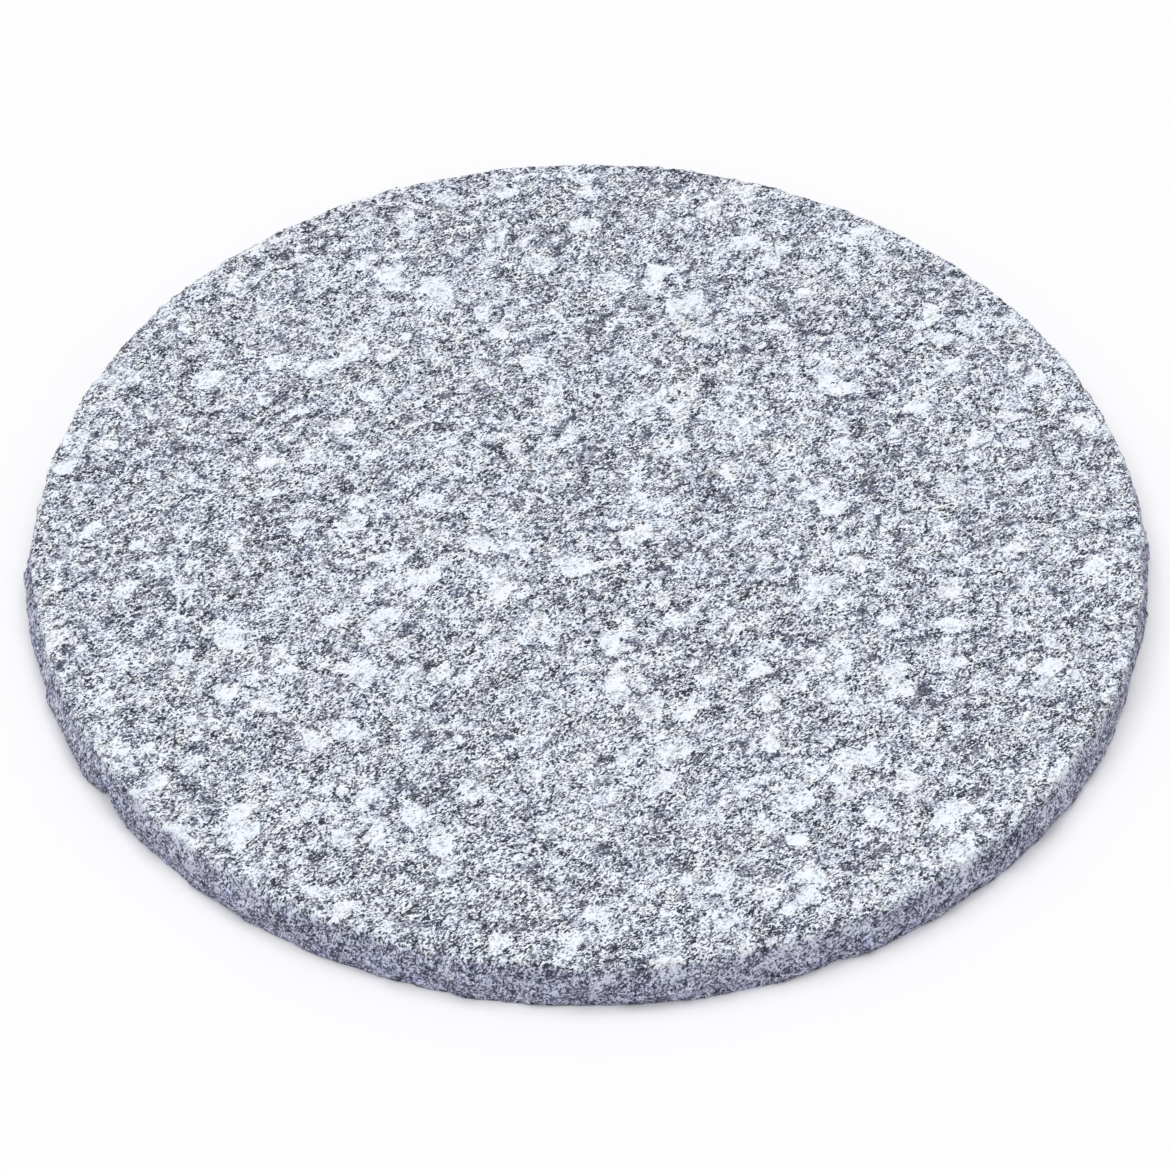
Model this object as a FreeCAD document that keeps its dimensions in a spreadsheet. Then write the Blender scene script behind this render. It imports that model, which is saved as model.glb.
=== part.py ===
import FreeCAD
import Part
import math
import os
import random

# A round garden stepping stone of foliated granite, lying flat on its sawn underside.
# It is one piece of stock: a sawn slab with a level walking face, brought to its round
# by splitting the rim with a chisel. Two rows of blows meet in a ridge, the belly: one
# struck down from the walking face, one struck up from the underside.
# Millimetres and degrees. The origin is the middle of the underside, with +Z up.

SIZES = {
    # The walking face across its arrises, and the slab's height.
    "top_diameter": 400.0,
    "thickness": 20.0,
    # The split rim: how far the belly and the foot of the rim stand out past the arris,
    # and how high above the underside the two rows of scars meet.
    "belly_overhang": 3.4,
    "belly_height": 8.5,
    "foot_overhang": 1.75,
    # How much those two differ from scar to scar, to either side.
    "belly_spread": 1.1,
    "foot_spread": 0.6,
    # The scars: their mean lengths along the rim in the upper and the lower row, how far
    # each runs on over its neighbours and how deep it may bite into the arris.
    "upper_scar": 26.0,
    "lower_scar": 30.0,
    "scar_overlap": 1.0,
    "arris_bite": 0.5,
    # The wear that takes the sharpness off the arris.
    "arris_wear": 0.6,
    # The rough stock round the finished stone that the blows split away.
    "trim_allowance": 12.0,
    # The places where the rim departs from the rest: how far the belly stands out at its
    # two shoulders and beside the notch, and how far it draws in behind and before them.
    "left_shoulder": 0.7,
    "left_hollow": 3.0,
    "left_swell": 0.7,
    "right_shoulder": 1.5,
    "right_hollow": 1.2,
    "right_draw": 2.6,
    # The spalls broken out of the foot: how deep they go there and how wide they are.
    "left_spall_depth": 3.0,
    "left_spall_width": 10.0,
    "front_spall_depth": 1.2,
    "front_spall_width": 10.0,
    "right_spall_depth": 0.8,
    "right_spall_width": 9.0,
}

# How unlike the scars of a row are: the spread of their lengths as a share of the mean,
# and the most that a blow lands out of square with the rim.
LENGTH_SPREAD = 0.38
SKEW = 1.3

# The azimuth where each row begins, apart so that the two rows' scars don't line up.
UPPER_START = 90.0
LOWER_START = 84.0

# Where a swell or hollow of the belly lies: its size, its azimuth, its span to either side
# and whether it stands out or draws in. It is whole over the inner half of its span, and
# has died away at the end.
SWELLS = [
    ("left_hollow", 166.0, 19.0, -1),
    ("left_shoulder", -177.0, 7.0, 1),
    ("left_swell", -154.0, 7.0, 1),
    ("right_draw", -12.0, 13.0, -1),
    ("right_shoulder", 1.0, 5.0, 1),
    ("right_hollow", 17.0, 16.0, -1),
]

# The spalls that broke out of the foot: the azimuth of each and how far it lies out of
# square with the rim, so that it is deep at one end and runs out at the other.
SPALLS = [
    ("left_spall", -146.0, -14.0),
    ("front_spall", -65.9, 8.0),
    ("right_spall", -49.0, 8.0),
]

# The share of its depth that a spall has lost at the height of the belly.
SPALL_FADE = 0.4

# One fixed run of chance, so that each build strikes the same blows.
BLOWS = random.Random(4915)

# Sizes worked out from the driving ones. A blow's waste reaches well past the rough stock.
TOP_RADIUS = "Sizes.top_diameter / 2"
TOP_LEVEL = "Sizes.thickness"
GROUND_LEVEL = "0"
UPPER_RISE = "(Sizes.thickness - Sizes.belly_height)"
BLANK_RADIUS = f"({TOP_RADIUS} + Sizes.belly_overhang + Sizes.trim_allowance)"
WASTE_DEPTH = "3 * (Sizes.belly_overhang + Sizes.trim_allowance)"
WASTE_RISE = "2 * Sizes.thickness"
WEAR_LEAN = "-48"
WEAR_REACH = "6 * Sizes.arris_wear"

NODE = "stepping_stone"


def make_sheet(doc):
    """The driving dimensions, one to a row, each cell named by its alias."""
    sheet = doc.addObject("Spreadsheet::Sheet", "Sizes")
    for row, (alias, value) in enumerate(SIZES.items(), start=1):
        sheet.set(f"A{row}", alias)
        sheet.set(f"B{row}", str(value))
        sheet.setAlias(f"B{row}", alias)
    doc.recompute()
    return sheet


def turn_between(azimuth, other):
    """The angle from one azimuth to another, the short way round."""
    return (azimuth - other + 180) % 360 - 180


def row_of_scars(scar_length, first_azimuth):
    """The middle azimuth, heading and half angle of each scar in a row right round the stone."""
    girth = math.pi * SIZES["top_diameter"]
    count = round(girth / scar_length)
    shares = [1 + BLOWS.uniform(-LENGTH_SPREAD, LENGTH_SPREAD) for _ in range(count)]
    azimuth = first_azimuth
    scars = []
    for share in shares:
        half_angle = 180 * share / sum(shares)
        azimuth += half_angle
        heading = azimuth + BLOWS.uniform(-SKEW, SKEW)
        scars.append((azimuth, heading, half_angle))
        azimuth += half_angle
    return scars


def belly_at(azimuth):
    """How far the belly stands out past the arris at an azimuth, as an expression."""
    terms = ["Sizes.belly_overhang", f"{BLOWS.uniform(-1, 1):.3f} * Sizes.belly_spread"]
    for size, middle, span, way in SWELLS:
        nearness = min(1, 2 - 2 * abs(turn_between(azimuth, middle)) / span)
        if nearness > 0:
            terms.append(f"{way * nearness:.3f} * Sizes.{size}")
    return "(" + " + ".join(terms) + ")"


def foot_at():
    """How far the foot of a scar stands out past the arris, as an expression."""
    return f"(Sizes.foot_overhang + {BLOWS.uniform(-1, 1):.3f} * Sizes.foot_spread)"


def chord(radius, half_angle):
    """How far from the axis a flat scar lies if it is to pass for an arc of a given radius."""
    return f"({radius}) * (1 + cos({half_angle:.4f} deg)) / 2"


def scar_width(half_angle):
    """The width that joins a scar to its neighbours out to the edge of the rough stock."""
    return f"2 * {BLANK_RADIUS} * sin({half_angle:.4f} deg) + 2 * Sizes.scar_overlap"


def blow(doc, name, azimuth, heading, width, distance, level, lean, depth=WASTE_DEPTH, rise=WASTE_RISE):
    """The waste that one blow splits off the rim, a block whose inner face is the scar.

    The scar lies at a distance from the axis at a level, and leans by an angle: a positive
    lean undercuts the stone, a negative one slopes out towards the ground. The block goes
    out from it by its depth, and up and down from that level by its rise.
    """
    waste = doc.addObject("Part::Box", name)
    waste.setExpression("Length", depth)
    waste.setExpression("Width", width)
    waste.setExpression("Height", f"2 * {rise}")
    across = f"({distance}) * cos({azimuth:.4f} deg)"
    along = f"({distance}) * sin({azimuth:.4f} deg)"
    seat = f"placement(vector({across}; {along}; {level}); rotation({heading:.4f}; {lean}; 0))"
    middle = f"placement(vector(0; -({width}) / 2; -{rise}); rotation(0; 0; 0))"
    waste.setExpression("Placement", f"{seat} * {middle}")
    return waste


def upper_row(doc):
    """The scars struck down from the walking face, and the wear along their arrises."""
    scars = []
    wear = []
    row = row_of_scars(SIZES["upper_scar"], UPPER_START)
    for number, (azimuth, heading, half_angle) in enumerate(row):
        width = scar_width(half_angle)
        bite = f"{BLOWS.uniform(0, 1):.3f} * Sizes.arris_bite"
        arris = f"{chord(TOP_RADIUS, half_angle)} - {bite}"
        slope = f"-atan({belly_at(azimuth)} / {UPPER_RISE})"
        name = f"UpperScar{number:02d}"
        scars.append(blow(doc, name, azimuth, heading, width, arris, TOP_LEVEL, slope))
        name = f"ArrisWear{number:02d}"
        worn = f"{arris} - Sizes.arris_wear"
        reach = (WEAR_REACH, WEAR_REACH)
        wear.append(blow(doc, name, azimuth, heading, width, worn, TOP_LEVEL, WEAR_LEAN, *reach))
    return scars, wear


def lower_row(doc):
    """The scars struck up from the underside, which undercut the rim or at least stand upright."""
    scars = []
    row = row_of_scars(SIZES["lower_scar"], LOWER_START)
    for number, (azimuth, heading, half_angle) in enumerate(row):
        foot = foot_at()
        distance = chord(f"{TOP_RADIUS} + {foot}", half_angle)
        belly = f"max({belly_at(azimuth)}; {foot})"
        undercut = f"atan(({belly} - {foot}) / Sizes.belly_height)"
        width = scar_width(half_angle)
        name = f"LowerScar{number:02d}"
        scars.append(blow(doc, name, azimuth, heading, width, distance, GROUND_LEVEL, undercut))
    return scars


def spalls(doc):
    """The small pieces that broke out of the foot."""
    broken = []
    for name, azimuth, skew in SPALLS:
        width = f"Sizes.{name}_width"
        distance = f"{TOP_RADIUS} + Sizes.foot_overhang - Sizes.{name}_depth"
        rise = f"(Sizes.belly_overhang - Sizes.foot_overhang + {SPALL_FADE} * Sizes.{name}_depth)"
        undercut = f"atan({rise} / Sizes.belly_height)"
        broken.append(blow(doc, name, azimuth, azimuth + skew, width, distance, GROUND_LEVEL, undercut))
    return broken


def split_off(doc, name, stone, waste):
    """What is left of the stone once some waste is off it."""
    dressed = doc.addObject("Part::Cut", name)
    dressed.Base = stone
    dressed.Tool = waste
    dressed.Refine = True
    return dressed


def split_row(doc, name, stone, blows):
    """What is left of the stone after a row of blows: every second one, then those between."""
    for order in ("First", "Second"):
        waste = doc.addObject("Part::MultiFuse", f"{name}{order}Waste")
        waste.Shapes = blows[0::2] if order == "First" else blows[1::2]
        stone = split_off(doc, f"{name}{order}", stone, waste)
    return stone


def make_stone(doc):
    """The stone: the rough round slab, then each row of blows that dressed its rim."""
    stone = doc.addObject("Part::Cylinder", "Blank")
    stone.setExpression("Radius", BLANK_RADIUS)
    stone.setExpression("Height", "Sizes.thickness")
    scars, wear = upper_row(doc)
    stone = split_row(doc, "StruckDown", stone, scars)
    stone = split_row(doc, "StruckUp", stone, lower_row(doc))
    for spall in spalls(doc):
        stone = split_off(doc, f"{spall.Name}_off", stone, spall)
    stone = split_row(doc, "Worn", stone, wear)
    stone.Label = NODE
    stone.Placement = FreeCAD.Placement()
    return stone


def check(doc, shape: Part.Shape):
    """Stop unless every feature was built and the stone is one sound solid."""
    for item in doc.Objects:
        if "Invalid" in item.State or "Error" in item.State:
            raise RuntimeError(f"{item.Name} was not built: {item.State}")
    if shape.isNull() or not shape.isValid():
        raise RuntimeError("the stone is not a sound solid")
    if len(shape.Solids) != 1:
        raise RuntimeError(f"the stone came out as {len(shape.Solids)} pieces")


def main():
    """Build the stone and write it out."""
    doc = FreeCAD.newDocument("SteppingStone")
    make_sheet(doc)
    stone = make_stone(doc)
    doc.recompute()
    check(doc, stone.Shape)
    box = stone.Shape.BoundBox
    print(f"{NODE}: {box.XLength:.1f} x {box.YLength:.1f} x {box.ZLength:.1f} mm,", end=" ")
    print(f"{stone.Shape.Volume / 1000:.1f} cm3, {len(stone.Shape.Faces)} faces")
    os.makedirs("parts", exist_ok=True)
    stone.Shape.exportStep(f"parts/{stone.Label}.step")


main()
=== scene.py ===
"""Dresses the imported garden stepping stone: a round of foliated granite, flamed on top and split round its rim."""

import logging
import math
from dataclasses import dataclass, field
from enum import Enum
from typing import Any, Callable

import bpy
import numpy as np
from mathutils import Matrix, Vector


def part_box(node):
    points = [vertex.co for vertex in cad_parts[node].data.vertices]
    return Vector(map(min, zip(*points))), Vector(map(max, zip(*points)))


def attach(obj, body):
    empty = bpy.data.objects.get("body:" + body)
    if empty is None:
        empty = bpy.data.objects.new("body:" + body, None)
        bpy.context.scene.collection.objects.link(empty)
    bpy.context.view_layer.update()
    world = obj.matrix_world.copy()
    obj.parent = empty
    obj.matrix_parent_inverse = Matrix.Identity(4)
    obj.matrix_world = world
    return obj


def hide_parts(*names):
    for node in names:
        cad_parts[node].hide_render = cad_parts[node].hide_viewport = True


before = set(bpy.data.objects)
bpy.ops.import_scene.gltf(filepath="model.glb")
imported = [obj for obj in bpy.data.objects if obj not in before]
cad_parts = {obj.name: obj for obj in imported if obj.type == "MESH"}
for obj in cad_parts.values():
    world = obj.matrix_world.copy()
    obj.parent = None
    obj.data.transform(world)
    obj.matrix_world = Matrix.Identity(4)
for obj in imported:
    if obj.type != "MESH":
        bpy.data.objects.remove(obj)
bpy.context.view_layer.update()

MM = 0.001

Tree = bpy.types.NodeTree
Socket = bpy.types.NodeSocket

log = logging.getLogger("stepping_stone")


class Surface(Enum):
    """How a part of the stone's skin was made, by the name of the vertex group that holds it."""

    FLAMED = "flamed"
    SPLIT = "split"
    ARRIS = "arris"


class Mark(Enum):
    """The values that the mesh carries for its material, by attribute name."""

    # Carries the split face's look, which also paints shade on the rim, stronger towards the foot.
    SPLIT = "split_face_and_shade"
    # Carries the paler arris, partly wear and partly a painted highlight.
    ARRIS = "worn_and_highlit_arris"


class Habit(Enum):
    """What the grains of a pattern are like: the texture that draws them, and the output that it is read from."""

    CLOUDED = ("ShaderNodeTexNoise", "Fac")
    CRYSTALS = ("ShaderNodeTexVoronoi", "Color")


def linear(colour: str) -> tuple[float, float, float, float]:
    """Turn an sRGB hex colour into linear light.

    Args:
        colour: Six hex digits.

    Returns:
        Linear red, green and blue, and an alpha of 1.
    """
    shares = [int(colour[at:at + 2], 16) / 255 for at in (0, 2, 4)]
    light = [share / 12.92 if share <= 0.04045 else ((share + 0.055) / 1.055) ** 2.4 for share in shares]
    return (light[0], light[1], light[2], 1.0)


def add_node(tree: Tree, kind: str, inputs: dict[str | int, Any], **settings: Any) -> bpy.types.Node:
    """Add a node with its settings, and set or link its inputs.

    Args:
        tree: The node tree that gets the node.
        kind: The node's type name.
        inputs: Input names or numbers, each with a value or with the output socket that feeds it.
        settings: The node's own properties.

    Returns:
        The new node.
    """
    node = tree.nodes.new(kind)
    for name, value in settings.items():
        setattr(node, name, value)
    for name, value in inputs.items():
        if isinstance(value, Socket):
            tree.links.new(value, node.inputs[name])
        else:
            node.inputs[name].default_value = value
    return node


def smooth_step(low: float, high: float, value: np.ndarray) -> np.ndarray:
    """Rise smoothly from 0 at low to 1 at high.

    Args:
        low: Where the rise begins.
        high: Where it ends.
        value: The values to weigh.

    Returns:
        Their weights, from 0 to 1.
    """
    share = np.clip((value - low) / (high - low), 0, 1)
    return share * share * (3 - 2 * share)


def choose_only(piece: bpy.types.Object) -> None:
    """Leave one object selected and active.

    Args:
        piece: The object to work on.
    """
    bpy.ops.object.select_all(action="DESELECT")
    piece.select_set(True)
    bpy.context.view_layer.objects.active = piece


def read_vectors(items: bpy.types.bpy_prop_collection, name: str) -> np.ndarray:
    """Read a vector from each item of a mesh.

    Args:
        items: The mesh's vertices, faces or vertex normals.
        name: The name of the vector in an item.

    Returns:
        The vectors, one to a row.
    """
    values = np.empty(len(items) * 3, np.float32)
    items.foreach_get(name, values)
    return values.reshape(-1, 3)


def read_counts(items: bpy.types.bpy_prop_collection, name: str) -> np.ndarray:
    """Read a whole number from each item of a mesh.

    Args:
        items: The mesh's faces or face corners.
        name: The name of the number in an item.

    Returns:
        The numbers.
    """
    values = np.empty(len(items), np.int32)
    items.foreach_get(name, values)
    return values


def move_vertices(mesh: bpy.types.Mesh, place: np.ndarray) -> None:
    """Put a mesh's vertices in new places.

    Args:
        mesh: The mesh.
        place: The places, one to a row.
    """
    mesh.vertices.foreach_set("co", place.astype(np.float32).ravel())
    mesh.update()


@dataclass(frozen=True)
class Grain:
    """One size of pattern in the rock.

    Its spans are in millimetres along, across and through the foliation. Weight is how far it sways a level, and
    detail and breakup are the finer layers in it and their strength. Where it is cut into separate grains, edge
    is where they start and end, and show is how strongly they show.
    """

    spans: tuple[float, float, float]
    weight: float = 1.0
    habit: Habit = Habit.CLOUDED
    detail: float = 1.0
    breakup: float = 0.5
    edge: tuple[float, float] = (0.0, 1.0)
    show: float = 1.0
    # Sets patterns of like spans apart.
    shift: float = 0.0


@dataclass(frozen=True)
class FoliatedGranite:
    """Light grey foliated granite, flamed on top and split at the rim.

    Feldspar gives it its white ground and patches, quartz its smooth grey grains, and flakes of dark mica, drawn
    out along the foliation, its streaks and specks. Flaming bursts the crystals and leaves a pale, dry, pitted
    skin. A split face is fresh stone, slightly violet, and is painted darker, partly for its own tone and partly
    as painted shade of the rim that grows towards the foot. Stretches of the arris are painted paler, partly as
    wear and partly as a painted highlight.
    """

    name: str = "flamed_and_split_granite"
    # The tones of the ground, from quartz to feldspar, by the level where each is met.
    tones: tuple[tuple[float, str], ...] = (
        (0.235, "4E4F64"),
        (0.347, "7A7D8F"),
        (0.413, "A2A6B4"),
        (0.469, "C8CDD8"),
        (0.535, "DFE5EF"),
        (0.665, "F2F8FE"),
    )
    mica: str = "20232F"
    # The faint warm and cool casts of its two feldspars, and the grains that have them.
    casts: tuple[str, str] = ("FFFBF8", "F8FBFF")
    feldspars: Grain = Grain((7.0, 5.5, 7.0), 1.0, Habit.CRYSTALS, 0.0, shift=13.1)
    # A split face: its tint and the level that its patches are evened out towards, which paint it darker, partly as
    # fresh stone's own tone and partly as painted shade of the rim, and by how much; how much fainter its crystals
    # and flakes are, and the ragged way it sets in below the arris.
    split_and_shade_tint: str = "E6E3F4"
    split_and_shade_level: float = 0.374
    split_evenness: float = 0.52
    split_softness: float = 0.20
    split_line: Grain = Grain((2.4, 2.4, 5.0), 0.35, Habit.CRYSTALS, 0.0, edge=(0.05, 1.0), shift=3.7)
    # The foliation's bearing on the walking face, and its dip into the slab.
    bearing: float = math.radians(36)
    dip: float = math.radians(12)
    # The level of mixed ground, halfway between quartz and feldspar.
    middle: float = 0.5
    # Large patches of feldspar and smooth beads of quartz, and how soon the crystals and flakes are lost in them.
    patches: Grain = Grain((8.5, 7.0, 9.0), 1.0, Habit.CRYSTALS, 0.0, edge=(0.74, 0.82), show=0.13, shift=7.3)
    beads: Grain = Grain((5.2, 4.0, 5.0), 1.0, Habit.CRYSTALS, 0.0, edge=(0.75, 0.81), show=0.085, shift=9.1)
    calm: float = 3.2
    # Bands richer or poorer in mica, the bodies of mixed ground, and their coarse and fine crystals.
    bands: Grain = Grain((34.0, 24.0, 24.0), 0.13, breakup=0.6, shift=1.7)
    bodies: Grain = Grain((5.0, 3.85, 6.0), 0.74, detail=2.0, breakup=0.55)
    coarse: Grain = Grain((1.75, 1.15, 1.8), 0.29, Habit.CRYSTALS, 0.0, shift=2.3)
    fine: Grain = Grain((0.74, 0.48, 0.78), 0.67, Habit.CRYSTALS, 0.0, shift=4.1)
    # Flakes of mica and their clusters, and how far they lean away from the feldspar.
    flakes: Grain = Grain((1.0, 0.50, 0.8), 0.95, Habit.CRYSTALS, 0.0, edge=(0.70, 0.72), show=0.95, shift=5.9)
    clusters: Grain = Grain((9.0, 6.0, 6.0), 0.8, detail=2.0, breakup=0.6, shift=8.3)
    flake_lean: float = 0.4
    # How far grain boundaries wander, and over what length and how unevenly they do.
    wander: float = 0.7 * MM
    wander_span: float = 0.9 * MM
    wander_detail: float = 1.0
    wander_breakup: float = 0.6
    # The stretches of the arris that are painted paler, partly as wear and partly as a painted highlight, and by how
    # much.
    wear_and_highlight_stretch: Grain = Grain(
        (9.0, 9.0, 9.0), detail=4.0, breakup=0.75, edge=(0.42, 0.58), show=0.20, shift=11.7,
    )
    # How high the crystals stand on the flamed skin, how much of that shows, and how rough they are from the
    # lowest to the highest, which lie this far below and above the middle.
    relief: float = 0.25 * MM
    bump: float = 0.6
    roughness: tuple[float, float] = (0.72, 0.92)
    height_span: float = 0.3
    specular: float = 0.25
    ior: float = 1.54

    def pattern(self, tree: Tree, place: Socket, grain: Grain) -> Socket:
        """Lay a pattern along the foliation.

        Args:
            tree: The material's node tree.
            place: The socket with the place on the stone, in metres.
            grain: The pattern's habit, size and breakup.

        Returns:
            The socket with the pattern, about one half.
        """
        laid = add_node(tree, "ShaderNodeMapping", {
            "Vector": place, "Location": (grain.shift,) * 3, "Rotation": (self.dip, 0.0, self.bearing),
            "Scale": tuple(span * MM for span in grain.spans),
        }, vector_type="TEXTURE")
        texture, output = grain.habit.value
        return add_node(tree, texture, {
            "Vector": laid.outputs[0], "Scale": 1.0, "Detail": grain.detail, "Roughness": grain.breakup,
        }).outputs[output]

    def scatter(self, tree: Tree, level: Socket, grain: Grain) -> Socket:
        """Cut a pattern into separate grains.

        Args:
            tree: The material's node tree.
            level: The socket with the pattern.
            grain: The grains' edge and strength.

        Returns:
            The socket with how much of the grains shows.
        """
        return add_node(tree, "ShaderNodeMapRange", {
            "Value": level, "From Min": grain.edge[0], "From Max": grain.edge[1], "To Max": grain.show,
        }, interpolation_type="SMOOTHSTEP").outputs[0]

    def heap(self, tree: Tree, place: Socket, base: Socket | float, grains: tuple[Grain, ...]) -> Socket:
        """Add patterns to a level, each by its weight to either side of it.

        Args:
            tree: The material's node tree.
            place: The socket with the place on the stone, in metres.
            base: The socket with the level, or a number.
            grains: The patterns.

        Returns:
            The socket with the new level.
        """
        level = base
        for grain in grains:
            level = add_node(tree, "ShaderNodeMath", {
                0: self.pattern(tree, place, grain), 1: grain.weight, 2: level,
            }, operation="MULTIPLY_ADD").outputs[0]
        middle = sum(grain.weight for grain in grains) / 2
        return add_node(tree, "ShaderNodeMath", {0: level, 1: middle}, operation="SUBTRACT").outputs[0]

    def let_wander(self, tree: Tree, place: Socket) -> Socket:
        """Shake places a little, so that grain boundaries wander.

        Args:
            tree: The material's node tree.
            place: The socket with the place on the stone, in metres.

        Returns:
            The socket with the shaken place.
        """
        shake = add_node(tree, "ShaderNodeTexNoise", {
            "Vector": place, "Scale": 1 / self.wander_span,
            "Detail": self.wander_detail, "Roughness": self.wander_breakup,
        })
        offset = add_node(tree, "ShaderNodeVectorMath", {
            0: shake.outputs["Color"], 1: (0.5, 0.5, 0.5),
        }, operation="SUBTRACT")
        return add_node(tree, "ShaderNodeVectorMath", {
            0: offset.outputs[0], 1: (self.wander,) * 3, 2: place,
        }, operation="MULTIPLY_ADD").outputs[0]

    def lay_ground(self, tree: Tree, place: Socket, split: Socket, wear_and_highlight: Socket) -> tuple[Socket, Socket]:
        """Lay the grains of quartz and feldspar, and over them the mica.

        Args:
            tree: The material's node tree.
            place: The socket with the place on the stone, in metres.
            split: The socket with how far the skin is fresh, split stone, whose darker look also holds painted
            shade of the rim.
            wear_and_highlight: The socket with how much paler it is painted, partly as wear and partly as a
            painted highlight.

        Returns:
            The sockets with the height of the crystals, about nought, and with the colour.
        """
        wandering = self.let_wander(tree, place)
        even = add_node(tree, "ShaderNodeMath", {
            0: split, 1: self.split_evenness,
        }, operation="MULTIPLY").outputs[0]
        clear = add_node(tree, "ShaderNodeMath", {
            0: split, 1: -self.split_softness, 2: 1.0,
        }, operation="MULTIPLY_ADD").outputs[0]

        patches = self.scatter(tree, self.pattern(tree, wandering, self.patches), self.patches)
        beads = self.scatter(tree, self.pattern(tree, wandering, self.beads), self.beads)
        apart = add_node(tree, "ShaderNodeMath", {0: patches, 1: beads}, operation="SUBTRACT").outputs[0]
        away = add_node(tree, "ShaderNodeMath", {0: apart}, operation="ABSOLUTE").outputs[0]
        calm = add_node(tree, "ShaderNodeMath", {0: away, 1: self.calm}, operation="MULTIPLY").outputs[0]
        calm = add_node(tree, "ShaderNodeMath", {
            0: calm, 1: even,
        }, operation="SUBTRACT", use_clamp=True).outputs[0]

        level = add_node(tree, "ShaderNodeMath", {0: apart, 1: self.middle}, operation="ADD").outputs[0]
        body = self.heap(tree, wandering, level, (self.bands, self.bodies))
        # Split faces are evened out towards a darker level: fresh stone's own tone and painted shade of the rim.
        body = add_node(tree, "ShaderNodeMix", {0: even, 2: body, 3: self.split_and_shade_level}).outputs[0]
        # Stretches of the arris are raised paler: wear and a painted highlight.
        body = add_node(tree, "ShaderNodeMath", {0: body, 1: wear_and_highlight}, operation="ADD").outputs[0]
        crystals = self.heap(tree, wandering, 0.0, (self.coarse, self.fine))
        shown = add_node(tree, "ShaderNodeMix", {0: calm, 2: crystals, 3: 0.0}).outputs[0]
        shown = add_node(tree, "ShaderNodeMath", {0: shown, 1: clear}, operation="MULTIPLY").outputs[0]
        level = add_node(tree, "ShaderNodeMath", {0: body, 1: shown}, operation="ADD").outputs[0]
        ramp = add_node(tree, "ShaderNodeValToRGB", {0: level})
        stops = ramp.color_ramp.elements
        while len(stops) < len(self.tones):
            stops.new(self.middle)
        for stop, (at, colour) in zip(stops, self.tones):
            stop.position = at
            stop.color = linear(colour)
        cast = add_node(tree, "ShaderNodeMix", {
            0: self.pattern(tree, wandering, self.feldspars), 6: linear(self.casts[0]), 7: linear(self.casts[1]),
        }, data_type="RGBA").outputs[2]
        ground = add_node(tree, "ShaderNodeMix", {
            0: 1.0, 6: ramp.outputs[0], 7: cast,
        }, data_type="RGBA", blend_type="MULTIPLY").outputs[2]

        poorer = add_node(tree, "ShaderNodeMath", {0: self.middle, 1: body}, operation="SUBTRACT").outputs[0]
        leaning = add_node(tree, "ShaderNodeMath", {
            0: poorer, 1: self.flake_lean, 2: self.middle,
        }, operation="MULTIPLY_ADD").outputs[0]
        flakes = self.heap(tree, wandering, leaning, (self.flakes, self.clusters))
        flakes = self.scatter(tree, flakes, self.flakes)
        flakes = add_node(tree, "ShaderNodeMath", {0: flakes, 1: clear}, operation="MULTIPLY").outputs[0]
        flakes = add_node(tree, "ShaderNodeMix", {0: calm, 2: flakes, 3: 0.0}).outputs[0]
        colour = add_node(tree, "ShaderNodeMix", {
            0: flakes, 6: ground, 7: linear(self.mica),
        }, data_type="RGBA").outputs[2]
        return crystals, colour

    def make(self) -> bpy.types.Material:
        """Build the material.

        Returns:
            The granite, drawn from places on the stone and the values that its mesh carries.
        """
        granite = bpy.data.materials.new(self.name)
        granite.use_nodes = True
        tree = granite.node_tree
        tree.nodes.clear()
        place = add_node(tree, "ShaderNodeTexCoord", {}).outputs["Object"]
        # How far the split face's look, with its painted shade, has set in; it grows towards the foot.
        below = add_node(tree, "ShaderNodeAttribute", {}, attribute_name=Mark.SPLIT.value).outputs["Fac"]
        split = self.scatter(tree, self.heap(tree, place, below, (self.split_line,)), self.split_line)
        # Paler stretches along the arris: partly wear, partly a painted highlight.
        arris = add_node(tree, "ShaderNodeAttribute", {}, attribute_name=Mark.ARRIS.value).outputs["Fac"]
        stretches = self.scatter(tree, self.pattern(tree, place, self.wear_and_highlight_stretch), self.wear_and_highlight_stretch)
        wear_and_highlight = add_node(tree, "ShaderNodeMath", {0: arris, 1: stretches}, operation="MULTIPLY").outputs[0]
        height, colour = self.lay_ground(tree, place, split, wear_and_highlight)
        # The split face's tint paints the rim darker: fresh stone's own tone and painted shade.
        colour = add_node(tree, "ShaderNodeMix", {
            0: split, 6: colour, 7: linear(self.split_and_shade_tint),
        }, data_type="RGBA", blend_type="MULTIPLY").outputs[2]
        rough = add_node(tree, "ShaderNodeMapRange", {
            "Value": height, "From Min": -self.height_span, "From Max": self.height_span,
            "To Min": self.roughness[0], "To Max": self.roughness[1],
        })
        bump = add_node(tree, "ShaderNodeBump", {
            "Strength": self.bump, "Distance": self.relief, "Height": height,
        })
        shader = add_node(tree, "ShaderNodeBsdfPrincipled", {
            "Base Color": colour, "Roughness": rough.outputs[0], "IOR": self.ior,
            "Specular IOR Level": self.specular, "Normal": bump.outputs[0],
        })
        add_node(tree, "ShaderNodeOutputMaterial", {"Surface": shader.outputs[0]})
        return granite


@dataclass(frozen=True)
class PalePaint:
    """Matt off-white paint, which gives the floor an even, shadow-catching ground."""

    name: str = "pale_matt_paint"
    colour: str = "F4F4F5"
    roughness: float = 0.9

    def make(self) -> bpy.types.Material:
        """Build the material.

        Returns:
            The paint.
        """
        paint = bpy.data.materials.new(self.name)
        paint.use_nodes = True
        shader = paint.node_tree.nodes["Principled BSDF"]
        shader.inputs["Base Color"].default_value = linear(self.colour)
        shader.inputs["Roughness"].default_value = self.roughness
        return paint


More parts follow.
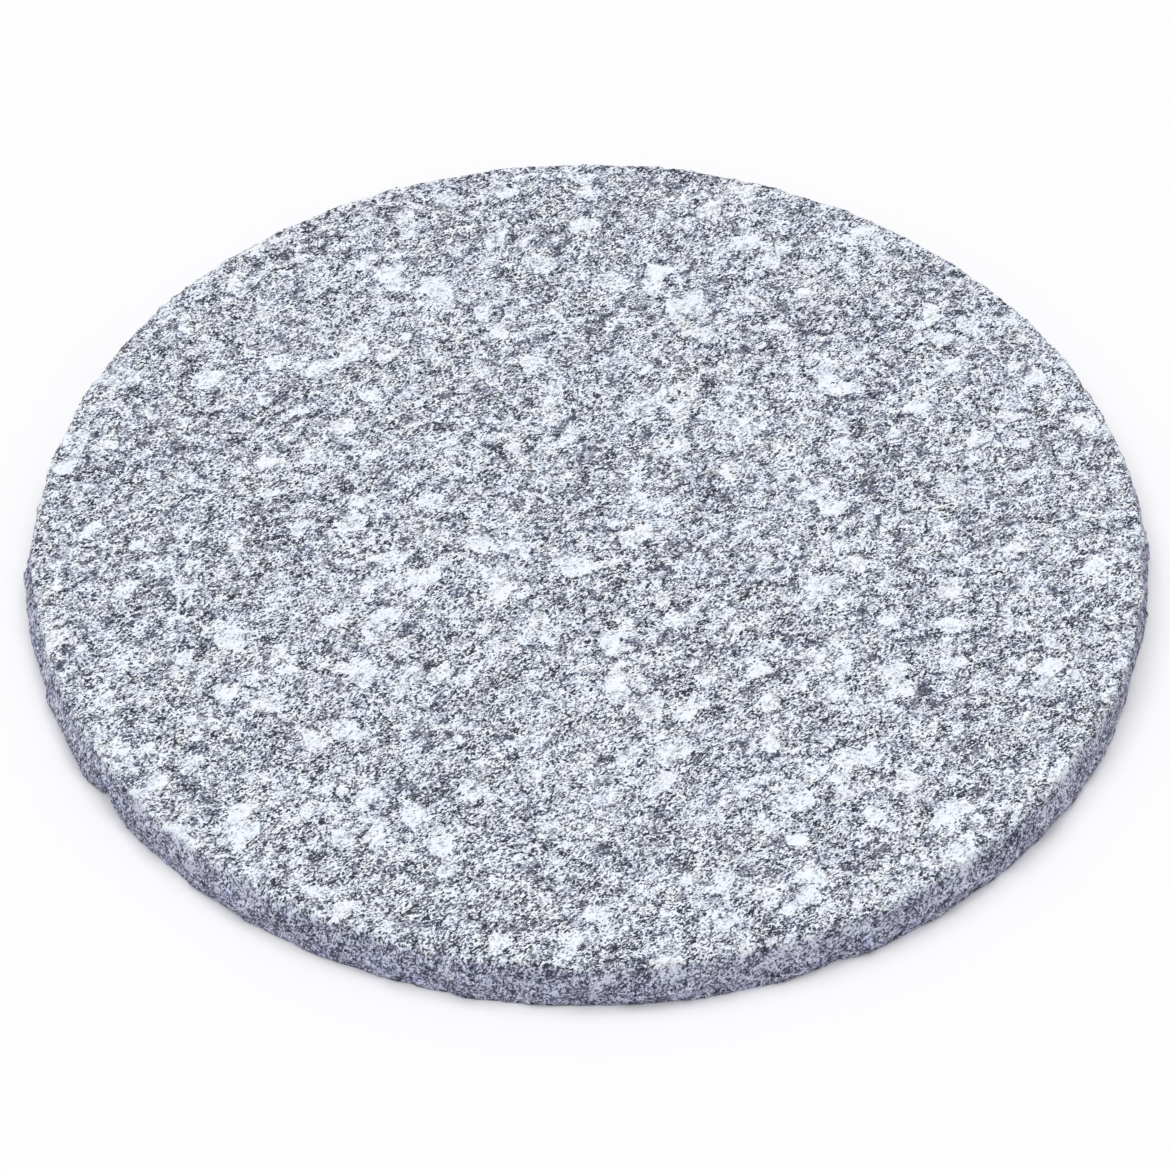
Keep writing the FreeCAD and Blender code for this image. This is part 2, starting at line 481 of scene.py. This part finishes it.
@dataclass(frozen=True)
class Relief:
    """One layer of unevenness in the skin: its grain and depth in metres, and which face has it.

    Level is how much of the depth stands proud, from 1 for none to 0 for all, and contrast sharpens its pattern
    into separate chips.
    """

    name: str
    face: Surface
    grain: float
    depth: float
    level: float = 0.5
    contrast: float = 1.0
    direction: str = "NORMAL"


@dataclass(frozen=True)
class BakeLayout:
    """How the skin is laid out flat for baking, in shares of the square map.

    The walking face lies large on the left, the underside small in the upper right corner, and the rim in strips
    along the lower edge.
    """

    name: str = "OFBake"
    # A face whose normal is this upright belongs to the walking face or the underside.
    upright: float = 0.7
    # Where those two lie, and how wide they are.
    top_middle: tuple[float, float] = (0.405, 0.595)
    top_width: float = 0.79
    bottom_middle: tuple[float, float] = (0.868, 0.868)
    bottom_width: float = 0.25
    # The strips of the rim: how many, their length, where the lowest starts, and the pitch and width of each.
    strips: int = 3
    strip_length: float = 0.97
    strip_start: float = 0.012
    strip_pitch: float = 0.06
    strip_width: float = 0.05

    def lay(self, mesh: bpy.types.Mesh, size: Vector) -> None:
        """Give a mesh its map.

        Args:
            mesh: The stone's mesh, before its relief.
            size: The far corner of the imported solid's box.
        """
        corner = read_counts(mesh.loops, "vertex_index")
        sides = read_counts(mesh.polygons, "loop_total")
        at = read_vectors(mesh.vertices, "co")[corner]
        upward = np.repeat(read_vectors(mesh.polygons, "normal")[:, 2], sides)
        centre = np.repeat(read_vectors(mesh.polygons, "center"), sides, axis=0)
        spread = np.empty((len(corner), 2), np.float32)
        top = upward > self.upright
        spread[top] = np.array(self.top_middle) + self.top_width * at[top, :2] / (2 * size.x)
        bottom = upward < -self.upright
        spread[bottom] = np.array(self.bottom_middle) + self.bottom_width * at[bottom, :2] / (2 * size.x)
        rim = ~top & ~bottom
        arc = math.tau / self.strips
        azimuth = np.arctan2(centre[rim, 1], centre[rim, 0]) + math.pi
        strip = np.floor(azimuth / arc).clip(0, self.strips - 1)
        middle = (strip + 0.5) * arc - math.pi
        turn = np.arctan2(at[rim, 1], at[rim, 0]) - middle
        turn = (turn + math.pi) % math.tau - math.pi
        spread[rim, 0] = 0.5 + self.strip_length * turn / arc
        spread[rim, 1] = self.strip_start + self.strip_pitch * strip + self.strip_width * (at[rim, 2] / size.z)
        layout = mesh.uv_layers.new(name=self.name)
        layout.data.foreach_set("uv", spread.ravel())


@dataclass
class SteppingStone:
    """The stone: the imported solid, meshed finely and given the relief of its flamed and split faces."""

    node: str = "stepping_stone"
    name: str = "granite_stepping_stone"
    slot: str = "granite"
    body: str = "root"
    # The mesh: the width of its faces, how near the vertices are that it welds, the band at the rim where its faces
    # are finer, and the sharpest angle between faces that are shaded smooth.
    mesh_step: float = 1.8 * MM
    weld: float = 0.01 * MM
    rim_band: float = 8.0 * MM
    smooth_angle: float = math.radians(60)
    # The sawn underside: how level and how near the ground its faces are, and the share of them that is kept.
    sawn_level: float = 0.999
    sawn_height: float = 0.1 * MM
    sawn_share: float = 0.02
    # How upright a vertex normal is where a flamed or sawn face starts and is whole, and on the arris: the middle
    # of its lean, how far that varies, and how far below the top it goes.
    flamed_lean: tuple[float, float] = (0.75, 0.97)
    sawn_lean: tuple[float, float] = (0.6, 0.9)
    arris_lean: float = 0.72
    arris_spread: float = 0.27
    arris_drop: float = 2.0 * MM
    # The band below the arris where the look of a split face sets in, and how far it has done so there; the rest of
    # that look, with its painted shade, grows with depth down to the foot, so the rim is darker towards the bottom.
    split_and_shade_band: float = 4.0 * MM
    band_and_shade_share: float = 0.6
    # The notch broken out of the foot: its azimuth, its angle to either side, its height and its depth.
    notch_at: float = math.radians(-147.1)
    notch_spans: tuple[float, float] = (math.radians(2.8), math.radians(2.8))
    notch_height: float = 12.0 * MM
    notch_depth: float = 2.2 * MM
    # The end of the right shoulder, eased into the rim below it: its azimuth, the angles over which this dies away
    # to either side, how far out it brings the rim, and the heights between which it dies away upwards.
    ease_at: float = math.radians(-6.75)
    ease_spans: tuple[float, float] = (math.radians(9), math.radians(3))
    ease_reach: float = 202.0 * MM
    ease_heights: tuple[float, float] = (4.0 * MM, 17.0 * MM)
    bake_map: BakeLayout = field(default_factory=BakeLayout)
    finish: FoliatedGranite = field(default_factory=FoliatedGranite)
    reliefs: tuple[Relief, ...] = (
        Relief("flamed_swell", Surface.FLAMED, 9.0 * MM, 0.40 * MM, 1.0, direction="Z"),
        Relief("flamed_pits", Surface.FLAMED, 5.0 * MM, 0.35 * MM, 1.0, direction="Z"),
        Relief("split_waves", Surface.SPLIT, 13.0 * MM, 1.6 * MM),
        Relief("split_lumps", Surface.SPLIT, 5.0 * MM, 1.6 * MM, 0.6),
        Relief("split_grain", Surface.SPLIT, 2.4 * MM, 1.1 * MM, 0.6),
        Relief("arris_chips", Surface.ARRIS, 4.0 * MM, 1.3 * MM, 1.0, 3.0),
    )

    def build(self) -> bpy.types.Object:
        """Model the stone.

        Returns:
            The stone, with its finish, in the place of its node.
        """
        piece = self.copy_solid()
        self.mesh_finely(piece)
        self.thin_underside(piece)
        self.ease_shoulder(piece)
        self.mark_faces(piece)
        self.bake_map.lay(piece.data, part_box(self.node)[1])
        for relief in self.reliefs:
            self.roughen(piece, relief)
        self.break_notch(piece)
        self.keep_in_box(piece)
        self.dress(piece)
        return piece

    def copy_solid(self) -> bpy.types.Object:
        """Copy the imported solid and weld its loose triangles.

        Returns:
            The copy, selected and active.
        """
        piece = bpy.data.objects.new(self.name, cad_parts[self.node].data.copy())
        bpy.context.scene.collection.objects.link(piece)
        choose_only(piece)
        bpy.ops.object.mode_set(mode="EDIT")
        bpy.ops.mesh.select_all(action="SELECT")
        bpy.ops.mesh.remove_doubles(threshold=self.weld)
        bpy.ops.object.mode_set(mode="OBJECT")
        return piece

    def mesh_finely(self, piece: bpy.types.Object) -> None:
        """Give the stone even, small faces, half as wide round the rim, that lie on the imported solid.

        Args:
            piece: The welded copy.
        """
        remesh = piece.modifiers.new("even_faces", "REMESH")
        remesh.mode = "VOXEL"
        remesh.voxel_size = self.mesh_step
        bpy.ops.object.modifier_apply(modifier=remesh.name)
        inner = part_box(self.node)[1].y - self.rim_band
        self.select_faces(piece, lambda normal, middle: np.hypot(middle[:, 0], middle[:, 1]) > inner)
        bpy.ops.mesh.subdivide(number_cuts=1)
        bpy.ops.object.mode_set(mode="OBJECT")
        wrap = piece.modifiers.new("lie_on_solid", "SHRINKWRAP")
        wrap.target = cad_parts[self.node]
        wrap.wrap_method = "NEAREST_SURFACEPOINT"
        bpy.ops.object.modifier_apply(modifier=wrap.name)

    def select_faces(self, piece: bpy.types.Object, chosen: Callable[[np.ndarray, np.ndarray], np.ndarray]) -> None:
        """Enter edit mode with some faces selected.

        Args:
            piece: The stone.
            chosen: Says which faces, from arrays of their normals and middles.
        """
        choose_only(piece)
        bpy.ops.object.mode_set(mode="EDIT")
        bpy.ops.mesh.select_mode(type="FACE")
        bpy.ops.mesh.select_all(action="DESELECT")
        bpy.ops.object.mode_set(mode="OBJECT")
        faces = piece.data.polygons
        faces.foreach_set("select", chosen(read_vectors(faces, "normal"), read_vectors(faces, "center")))
        bpy.ops.object.mode_set(mode="EDIT")

    def thin_underside(self, piece: bpy.types.Object) -> None:
        """Use few faces on the sawn underside, which is flat, and smooth the rest.

        Args:
            piece: The stone.
        """
        self.select_faces(
            piece, lambda normal, middle: (normal[:, 2] < -self.sawn_level) & (middle[:, 2] < self.sawn_height),
        )
        bpy.ops.mesh.decimate(ratio=self.sawn_share)
        bpy.ops.object.mode_set(mode="OBJECT")
        bpy.ops.object.shade_smooth_by_angle(angle=self.smooth_angle)

    def nearness(self, place: np.ndarray, azimuth: float, spans: tuple[float, float]) -> np.ndarray:
        """Say how near vertices lie to an azimuth.

        Args:
            place: The vertices' places.
            azimuth: The azimuth.
            spans: The angles over which nearness dies away, clockwise and anticlockwise of it.

        Returns:
            Their nearness, from 0 to 1.
        """
        turn = np.arctan2(place[:, 1], place[:, 0]) - azimuth
        return np.clip(1 - np.maximum(-turn / spans[0], turn / spans[1]), 0, 1)

    def outerness(self, reach: np.ndarray, edge: float) -> np.ndarray:
        """Say how far vertices belong to the rim.

        Args:
            reach: The vertices' distances from the axis.
            edge: The distance of the rim from the axis.

        Returns:
            Their share in the rim, from 0 inside to 1 near the edge.
        """
        return smooth_step(edge - 2 * self.rim_band, edge - self.rim_band / 2, reach)

    def ease_shoulder(self, piece: bpy.types.Object) -> None:
        """Lead the end of the right shoulder gently into the rim below it.

        Args:
            piece: The stone, before its relief.
        """
        place = read_vectors(piece.data.vertices, "co")
        reach = np.maximum(np.hypot(place[:, 0], place[:, 1]), MM)
        low = 1 - smooth_step(*self.ease_heights, place[:, 2])
        share = self.nearness(place, self.ease_at, self.ease_spans) * low * self.outerness(reach, self.ease_reach)
        place[:, :2] *= (1 + share * (self.ease_reach / reach - 1))[:, None]
        move_vertices(piece.data, place)

    def mark_faces(self, piece: bpy.types.Object) -> None:
        """Group the vertices by how their face was made, and give them the values that the material reads.

        Args:
            piece: The evenly meshed stone.
        """
        mesh = piece.data
        height = read_vectors(mesh.vertices, "co")[:, 2]
        upward = read_vectors(mesh.vertex_normals, "vector")[:, 2]
        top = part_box(self.node)[1].z
        above = height > top / 2
        flamed = smooth_step(*self.flamed_lean, upward) * above
        sawn = smooth_step(*self.sawn_lean, -upward) * ~above
        arris = np.clip(1 - np.abs(upward - self.arris_lean) / self.arris_spread, 0, 1)
        arris = arris * (height > top - self.arris_drop)
        shares = {Surface.FLAMED: flamed, Surface.SPLIT: 1 - flamed - sawn, Surface.ARRIS: arris}
        for face, share in shares.items():
            group = piece.vertex_groups.new(name=face.value)
            for index in np.flatnonzero(share > 0):
                group.add([int(index)], float(share[index]), "REPLACE")
        depth = np.clip(top - height, 0, top)
        # The split face's look, and with it painted shade of the rim, sets in below the arris and grows with depth
        # to the foot.
        below = self.band_and_shade_share * smooth_step(0, self.split_and_shade_band, depth) + (1 - self.band_and_shade_share) * depth / top
        for mark, share in ((Mark.SPLIT, below), (Mark.ARRIS, arris)):
            values = mesh.attributes.new(mark.value, "FLOAT", "POINT")
            values.data.foreach_set("value", share.astype(np.float32))

    def roughen(self, piece: bpy.types.Object, relief: Relief) -> None:
        """Work one layer of relief into the skin.

        Args:
            piece: The stone.
            relief: The layer.
        """
        pattern = bpy.data.textures.new(relief.name, "CLOUDS")
        pattern.noise_scale = relief.grain
        pattern.noise_depth = 1
        pattern.noise_basis = "ORIGINAL_PERLIN"
        pattern.contrast = relief.contrast
        displace = piece.modifiers.new(relief.name, "DISPLACE")
        displace.texture = pattern
        displace.texture_coords = "LOCAL"
        displace.vertex_group = relief.face.value
        displace.direction = relief.direction
        displace.mid_level = relief.level
        displace.strength = relief.depth
        choose_only(piece)
        bpy.ops.object.modifier_apply(modifier=displace.name)

    def break_notch(self, piece: bpy.types.Object) -> None:
        """Deepen the notch where a flake broke out of the foot.

        Args:
            piece: The stone.
        """
        place = read_vectors(piece.data.vertices, "co")
        reach = np.maximum(np.hypot(place[:, 0], place[:, 1]), MM)
        low = np.sqrt(np.clip(1 - place[:, 2] / self.notch_height, 0, 1))
        outer = self.outerness(reach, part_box(self.node)[1].x)
        share = self.nearness(place, self.notch_at, self.notch_spans) * low * outer
        place[:, :2] *= (1 - self.notch_depth * share / reach)[:, None]
        move_vertices(piece.data, place)

    def keep_in_box(self, piece: bpy.types.Object) -> None:
        """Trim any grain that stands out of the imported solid's box.

        Args:
            piece: The stone.
        """
        low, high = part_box(self.node)
        move_vertices(piece.data, np.clip(read_vectors(piece.data.vertices, "co"), low, high))

    def dress(self, piece: bpy.types.Object) -> None:
        """Give the stone its finish and put it in the frame.

        Args:
            piece: The stone.
        """
        piece.data.materials.clear()
        piece.data.materials.append(self.finish.make())
        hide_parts(self.node)
        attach(piece, self.body)


@dataclass
class Studio:
    """A pale floor under soft light, and a camera at the photograph's angle."""

    floor_width: float = 12.0
    floor_paint: PalePaint = field(default_factory=PalePaint)
    # The main light: a wide soft one from above, a little to the front and to the left.
    key_strength: float = 2.15
    key_spread: float = math.radians(60)
    key_tilt: tuple[float, float, float] = (math.radians(4), math.radians(-5), 0.0)
    sky: str = "FFFFFF"
    sky_strength: float = 0.42
    # The camera: its rise over the floor, its turn about its own line of sight, how far it stands from its
    # target on the walking face, and the lens that frames the stone on a sensor of the usual width.
    elevation: float = math.radians(46.62)
    roll: float = math.radians(0.256)
    distance: float = 2.0
    target: tuple[float, float, float] = (-1.26 * MM, -24.04 * MM, 20.0 * MM)
    lens: float = 172.2
    sensor: float = 36.0

    def lay_floor(self) -> bpy.types.Object:
        """Lay the floor at the height of the stone's underside.

        Returns:
            The floor.
        """
        bpy.ops.object.select_all(action="DESELECT")
        bpy.ops.mesh.primitive_plane_add(size=self.floor_width, location=(0, 0, 0))
        floor = bpy.context.active_object
        floor.name = "floor"
        floor.data.materials.append(self.floor_paint.make())
        return floor

    def light(self) -> None:
        """Hang the main light and fill the room with an even sky."""
        bpy.ops.object.light_add(type="SUN", rotation=self.key_tilt)
        key = bpy.context.active_object
        key.name = "key_light"
        key.data.energy = self.key_strength
        key.data.angle = self.key_spread
        world = bpy.data.worlds.new("studio")
        world.use_nodes = True
        sky = world.node_tree.nodes["Background"]
        sky.inputs["Color"].default_value = linear(self.sky)
        sky.inputs["Strength"].default_value = self.sky_strength
        scene = bpy.context.scene
        scene.world = world
        scene.view_settings.view_transform = "Standard"
        scene.view_settings.look = "None"

    def place_camera(self) -> bpy.types.Object:
        """Stand the camera where the photograph was taken from.

        Returns:
            The camera, which the scene then uses.
        """
        back = Vector((0, -math.cos(self.elevation), math.sin(self.elevation)))
        stand = Vector(self.target) + back * self.distance
        lean = Matrix.Rotation(math.pi / 2 - self.elevation, 4, "X") @ Matrix.Rotation(self.roll, 4, "Z")
        bpy.ops.object.camera_add(location=stand, rotation=lean.to_euler())
        camera = bpy.context.active_object
        camera.name = "photograph_camera"
        camera.data.lens = self.lens
        camera.data.sensor_width = self.sensor
        bpy.context.scene.camera = camera
        return camera


def main() -> None:
    """Build the stone and the studio, and report each piece."""
    logging.basicConfig(level=logging.INFO, format="%(name)s: %(message)s")
    stone = SteppingStone().build()
    log.info("%s: %d triangles", stone.name, sum(len(face.vertices) - 2 for face in stone.data.polygons))
    studio = Studio()
    log.info("%s laid", studio.lay_floor().name)
    studio.light()
    log.info("%s in place", studio.place_camera().name)


if __name__ == "__main__":
    main()
